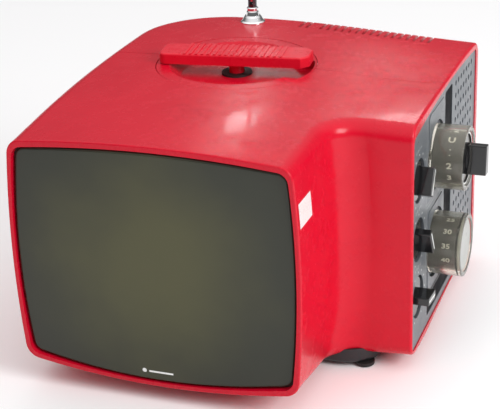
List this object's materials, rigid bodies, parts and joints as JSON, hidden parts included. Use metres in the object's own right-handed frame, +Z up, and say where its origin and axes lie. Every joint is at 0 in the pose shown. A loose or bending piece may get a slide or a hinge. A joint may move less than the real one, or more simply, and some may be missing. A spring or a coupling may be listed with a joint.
{
  "type": "tube television",
  "caption": "Portable tube television with a bulging tinted screen window, a side panel with tuner drums and rotary controls, a lift-up carrying handle and a telescopic antenna.",
  "frame": {"origin": "centre of the whole footprint, on the surface the feet stand on", "axes": "+X to the right seen from the front, +Y to the back, +Z up; the screen faces -Y"},
  "size_m": [0.321, 0.3218, 0.4358],
  "materials": {
    "red_shell": "glossy moulded ABS, red",
    "red_post": "glossy, red",
    "black_plastic": "satin black",
    "rubber": "matt black",
    "screw_steel": "zinc plated",
    "window_tint": "tinted acrylic, polished",
    "tube_glass": "grey glass with a phosphor screen",
    "steel": "plain",
    "copper": "lacquered copper winding",
    "ferrite": "sintered ferrite, matt",
    "board": "phenolic board",
    "core_steel": "varnished laminations",
    "capacitor_sleeve": "dark sleeve",
    "aluminium": "extruded, satin",
    "tinned_steel": "tin plated",
    "shaft_steel": "ground",
    "brass": "turned",
    "gear_nylon": "natural nylon",
    "clear_sleeve": "clear acrylic",
    "drum_black": "black with printed scale",
    "knob_black": "black",
    "cap_grey": "metallic grey",
    "panel_grey": "blue-grey, satin",
    "paper_cone": "pressed paper",
    "handle_red": "glossy, red, with moulded ribs",
    "chrome": "polished",
    "dark_chrome": "darkened"
  },
  "bodies": {
    "cabinet": {"antenna_base": "chrome", "antenna_terminals": "screw_steel", "base_plate": "black_plastic", "board_capacitors": "capacitor_sleeve", "brightness_potentiometer": "tinned_steel", "contrast_potentiometer": "tinned_steel", "control_panel": "panel_grey", "cover_screws": "screw_steel", "feet": "rubber", "flyback_transformer": "black_plastic", "front_cabinet": "red_shell", "handle_disc": "red_shell", "handle_washer": "rubber", "heat_sink": "aluminium", "main_board": "board", "neck_board": "board", "picture_tube": "tube_glass", "power_transformer": "core_steel", "rear_cover": "red_shell", "rear_socket_panel": "black_plastic", "screen_window": "window_tint", "socket_pins": "brass", "speaker_cone": "paper_cone", "speaker_frame": "steel", "speaker_magnet": "ferrite", "trim_inlay": "black_plastic", "tube_mask": "black_plastic", "tube_rim_band": "steel", "tube_screws": "screw_steel", "tube_socket": "black_plastic", "uhf_tuner": "tinned_steel", "vhf_tuner": "tinned_steel", "volume_potentiometer": "tinned_steel", "window_gasket": "rubber", "yoke_clamp": "steel", "yoke_coils": "copper", "yoke_core": "ferrite"},
    "vhf_selector": {"vhf_shaft": "shaft_steel", "vhf_channel_drum": "drum_black", "vhf_selector_knob": "knob_black"},
    "vhf_fine_tuning": {"vhf_fine_tuning_sleeve": "clear_sleeve"},
    "uhf_tuning": {"uhf_pinion_shaft": "brass", "uhf_tuning_sleeve": "clear_sleeve", "uhf_end_cap": "cap_grey"},
    "uhf_idler": {"uhf_idler_gear": "gear_nylon"},
    "uhf_dial": {"uhf_dial_drum": "drum_black"},
    "contrast_control": {"contrast_knob": "knob_black"},
    "brightness_control": {"brightness_knob": "knob_black"},
    "volume_control": {"volume_knob": "knob_black"},
    "handle_carriage": {"handle_retainer": "steel"},
    "handle": {"handle_bar": "handle_red", "handle_post": "red_post"},
    "antenna_swivel": {"antenna_knuckle": "dark_chrome", "antenna_pin": "shaft_steel"},
    "antenna_mast": {"antenna_tube_1": "chrome"},
    "antenna_section_2": {"antenna_tube_2": "chrome"},
    "antenna_section_3": {"antenna_tube_3": "chrome"},
    "antenna_section_4": {"antenna_rod": "chrome"},
    "vertical_hold": {"vertical_hold_knob": "knob_black"},
    "horizontal_hold": {"horizontal_hold_knob": "knob_black"}
  },
  "joints": [
    {"name": "vhf_channel", "type": "hinge", "parent": "cabinet", "child": "vhf_selector", "pos_m": [0.12253, 0.0055, 0.148], "axis": [1, 0, 0], "continuous": true},
    {"name": "vhf_fine_tune", "type": "hinge", "parent": "cabinet", "child": "vhf_fine_tuning", "pos_m": [0.12253, 0.0055, 0.148], "axis": [1, 0, 0], "continuous": true},
    {"name": "uhf_tune", "type": "hinge", "parent": "cabinet", "child": "uhf_tuning", "pos_m": [0.12253, 0.0055, 0.077], "axis": [1, 0, 0], "range_deg": [-600, 600]},
    {"name": "uhf_idler_spin", "type": "hinge", "parent": "cabinet", "child": "uhf_idler", "pos_m": [0.11253, 0.0055, 0.053], "axis": [1, 0, 0], "range_deg": [-300, 300]},
    {"name": "uhf_dial_turn", "type": "hinge", "parent": "cabinet", "child": "uhf_dial", "pos_m": [0.12253, 0.0055, 0.077], "axis": [1, 0, 0], "range_deg": [-150, 150]},
    {"name": "contrast_turn", "type": "hinge", "parent": "cabinet", "child": "contrast_control", "pos_m": [0.11753, -0.0475, 0.148], "axis": [1, 0, 0], "range_deg": [-120, 180]},
    {"name": "brightness_turn", "type": "hinge", "parent": "cabinet", "child": "brightness_control", "pos_m": [0.11753, -0.0475, 0.1015], "axis": [1, 0, 0], "range_deg": [-180, 120]},
    {"name": "volume_turn", "type": "hinge", "parent": "cabinet", "child": "volume_control", "pos_m": [0.11753, -0.0475, 0.055], "axis": [1, 0, 0], "range_deg": [-200, 100]},
    {"name": "handle_lift", "type": "slide", "parent": "cabinet", "child": "handle_carriage", "axis": [0, -0.0297, 0.9996], "range_m": [0, 0.025]},
    {"name": "handle_swivel", "type": "hinge", "parent": "handle_carriage", "child": "handle", "pos_m": [-0.04247, 0.0225, 0.2036], "axis": [0, -0.0297, 0.9996], "range_deg": [-90, 90]},
    {"name": "antenna_turn", "type": "hinge", "parent": "cabinet", "child": "antenna_swivel", "pos_m": [-0.06747, 0.1305, 0.21], "axis": [0, 0, 1], "range_deg": [-90, 90]},
    {"name": "antenna_tilt", "type": "hinge", "parent": "antenna_swivel", "child": "antenna_mast", "pos_m": [-0.06747, 0.1305, 0.2235], "axis": [-1, 0, 0], "range_deg": [0, 90]},
    {"name": "antenna_extend_2", "type": "slide", "parent": "antenna_mast", "child": "antenna_section_2", "axis": [0, 0, 1], "range_m": [0, 0.165]},
    {"name": "antenna_extend_3", "type": "slide", "parent": "antenna_section_2", "child": "antenna_section_3", "axis": [0, 0, 1], "range_m": [0, 0.165]},
    {"name": "antenna_extend_4", "type": "slide", "parent": "antenna_section_3", "child": "antenna_section_4", "axis": [0, 0, 1], "range_m": [0, 0.165]},
    {"name": "vertical_hold_turn", "type": "hinge", "parent": "cabinet", "child": "vertical_hold", "pos_m": [-0.08647, 0.1525, 0.074], "axis": [0, 1, 0], "range_deg": [-150, 150]},
    {"name": "horizontal_hold_turn", "type": "hinge", "parent": "cabinet", "child": "horizontal_hold", "pos_m": [-0.06447, 0.1525, 0.074], "axis": [0, 1, 0], "range_deg": [-150, 150]}
  ],
  "couplings": [
    {"joint": "uhf_idler_spin", "follows": "uhf_tune", "ratio": -0.5},
    {"joint": "uhf_dial_turn", "follows": "uhf_tune", "ratio": 0.25}
  ]
}
